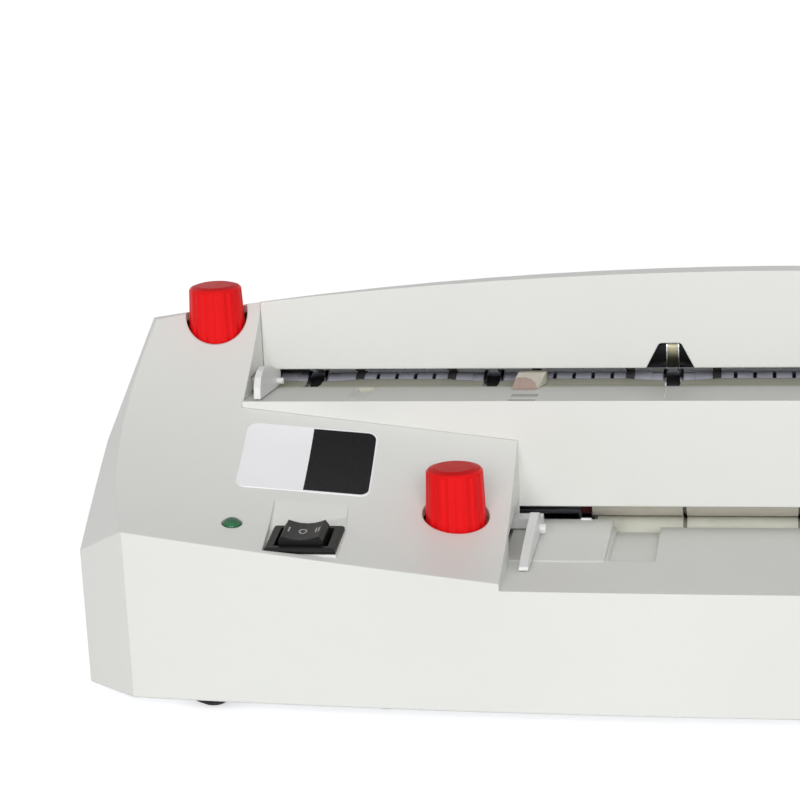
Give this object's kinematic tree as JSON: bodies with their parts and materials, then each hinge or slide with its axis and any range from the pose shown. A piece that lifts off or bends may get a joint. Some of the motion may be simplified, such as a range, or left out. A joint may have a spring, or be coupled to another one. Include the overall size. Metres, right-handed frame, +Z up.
{
  "type": "business card cutter",
  "caption": "Motor-driven desk slitter with two stepped feed slots, a sloped control panel, fluted adjusting knobs, a rocker switch and geared cutter shafts.",
  "frame": {"origin": "centre of the footprint on the table, under the rubber feet", "axes": "+X to the right along the slots, +Y to the back (paper runs this way), +Z up"},
  "size_m": [0.375, 0.195, 0.1022],
  "materials": {
    "casing_plastic": "fine moulded texture, off-white",
    "zinc_steel": "zinc-plated sheet",
    "foot_rubber": "matt black",
    "screw_steel": "bright zinc",
    "bush_bronze": "sintered bronze",
    "ground_steel": "ground",
    "motor_case": "dark grey can",
    "blade_steel": "ground and bright",
    "grip_rubber": "grey grip rubber",
    "sleeve_plastic": "pale lilac-grey",
    "roller_rubber": "greenish beige",
    "spacer_fibre": "red-brown fibre",
    "spacer_brass": "turned, tarnished to grey",
    "hub_plastic": "black",
    "gear_plastic": "natural acetal",
    "gear_steel": "cut steel",
    "knob_red": "bright red, fluted",
    "guide_plastic": "off-white",
    "switch_black": "black",
    "lamp_green": "tinted lens",
    "label_print": "printed film, pale left half and black right half",
    "leaf_paper": "tan leaf",
    "board_green": "circuit board",
    "gland_plastic": "black"
  },
  "bodies": {
    "chassis": {"base_plate": "zinc_steel", "base_screws": "screw_steel", "control_board": "board_green", "cord_gland": "gland_plastic", "cutter_cover": "casing_plastic", "frame_screws": "screw_steel", "gear_axles": "ground_steel", "gear_motor": "motor_case", "indicator_lamp": "lamp_green", "knob_brackets": "zinc_steel", "label_plate": "label_print", "left_frame": "zinc_steel", "lower_exit_guide": "zinc_steel", "main_housing": "casing_plastic", "paper_leaf": "leaf_paper", "rear_panel": "casing_plastic", "right_frame": "zinc_steel", "rubber_feet": "foot_rubber", "shaft_bushes": "bush_bronze", "switch_housing": "switch_black", "tie_rods": "ground_steel", "top_cover": "casing_plastic", "upper_exit_guide": "zinc_steel", "upper_infeed_guide": "casing_plastic"},
    "rocker": {"switch_rocker": "switch_black"},
    "upper_adjuster": {"upper_knob": "knob_red", "upper_knob_shaft": "ground_steel"},
    "lower_adjuster": {"lower_knob": "knob_red", "lower_knob_shaft": "ground_steel"},
    "upper_guide": {"upper_edge_guide": "guide_plastic"},
    "lower_guide": {"lower_edge_guide": "guide_plastic"},
    "upper_top_cutter": {"upper_top_discs": "blade_steel", "upper_top_gear": "gear_plastic", "upper_top_grip_rings": "grip_rubber", "upper_top_hubs": "hub_plastic", "upper_top_shaft": "ground_steel", "upper_top_sleeves": "sleeve_plastic", "upper_top_spacers": "spacer_brass"},
    "upper_bottom_cutter": {"upper_bottom_discs": "blade_steel", "upper_bottom_gear": "gear_plastic", "upper_bottom_grip_rings": "grip_rubber", "upper_bottom_shaft": "ground_steel", "upper_bottom_sleeves": "sleeve_plastic"},
    "lower_top_cutter": {"lower_top_discs": "blade_steel", "lower_top_gear": "gear_plastic", "lower_top_shaft": "ground_steel", "lower_top_sleeves": "roller_rubber", "lower_top_spacers": "spacer_fibre"},
    "lower_bottom_cutter": {"lower_bottom_discs": "blade_steel", "lower_bottom_gear": "gear_plastic", "lower_bottom_shaft": "ground_steel", "lower_bottom_sleeves": "roller_rubber", "drive_gear": "gear_plastic"},
    "idler": {"idler_gear": "gear_plastic"},
    "reduction": {"reduction_gear": "gear_plastic"},
    "motor_output": {"motor_pinion": "gear_steel"}
  },
  "joints": [
    {"name": "rocker_tilt", "type": "hinge", "parent": "chassis", "child": "rocker", "pos_m": [-0.1217, -0.08301, 0.04455], "axis": [0, 0.9925, 0.1219], "range_deg": [-10, 10]},
    {"name": "upper_knob_turn", "type": "hinge", "parent": "chassis", "child": "upper_adjuster", "pos_m": [-0.1629, 0.0005, 0.08], "axis": [0, 0, 1], "range_deg": [-24.5, 24.5]},
    {"name": "lower_knob_turn", "type": "hinge", "parent": "chassis", "child": "lower_adjuster", "pos_m": [-0.0838, -0.0619, 0.04], "axis": [0, 0, 1], "range_deg": [-24.5, 24.5]},
    {"name": "upper_guide_slide", "type": "slide", "parent": "chassis", "child": "upper_guide", "axis": [1, 0, 0], "range_m": [-0.003, 0.003]},
    {"name": "lower_guide_slide", "type": "slide", "parent": "chassis", "child": "lower_guide", "axis": [1, 0, 0], "range_m": [-0.003, 0.003]},
    {"name": "lower_bottom_spin", "type": "hinge", "parent": "chassis", "child": "lower_bottom_cutter", "pos_m": [0, -0.014, 0.023], "axis": [1, 0, 0], "continuous": true},
    {"name": "lower_top_spin", "type": "hinge", "parent": "chassis", "child": "lower_top_cutter", "pos_m": [0, -0.014, 0.043], "axis": [1, 0, 0], "continuous": true},
    {"name": "idler_spin", "type": "hinge", "parent": "chassis", "child": "idler", "pos_m": [0, 0.004, 0.04907], "axis": [1, 0, 0], "continuous": true},
    {"name": "upper_bottom_spin", "type": "hinge", "parent": "chassis", "child": "upper_bottom_cutter", "pos_m": [0, 0.014, 0.0622], "axis": [1, 0, 0], "continuous": true},
    {"name": "upper_top_spin", "type": "hinge", "parent": "chassis", "child": "upper_top_cutter", "pos_m": [0, 0.014, 0.0772], "axis": [1, 0, 0], "continuous": true},
    {"name": "reduction_spin", "type": "hinge", "parent": "chassis", "child": "reduction", "pos_m": [0, 0.00698, 0.02201], "axis": [1, 0, 0], "continuous": true},
    {"name": "motor_spin", "type": "hinge", "parent": "chassis", "child": "motor_output", "pos_m": [0, 0.02298, 0.02201], "axis": [1, 0, 0], "continuous": true}
  ],
  "couplings": [
    {"joint": "upper_guide_slide", "follows": "upper_knob_turn", "m_per_rad": 0.007},
    {"joint": "lower_guide_slide", "follows": "lower_knob_turn", "m_per_rad": -0.007},
    {"joint": "lower_top_spin", "follows": "lower_bottom_spin", "ratio": -1},
    {"joint": "idler_spin", "follows": "lower_bottom_spin", "ratio": 1.1111},
    {"joint": "upper_bottom_spin", "follows": "lower_bottom_spin", "ratio": -1.3333},
    {"joint": "upper_top_spin", "follows": "lower_bottom_spin", "ratio": 1.3333},
    {"joint": "reduction_spin", "follows": "lower_bottom_spin", "ratio": -0.90909},
    {"joint": "motor_spin", "follows": "lower_bottom_spin", "ratio": 2}
  ]
}
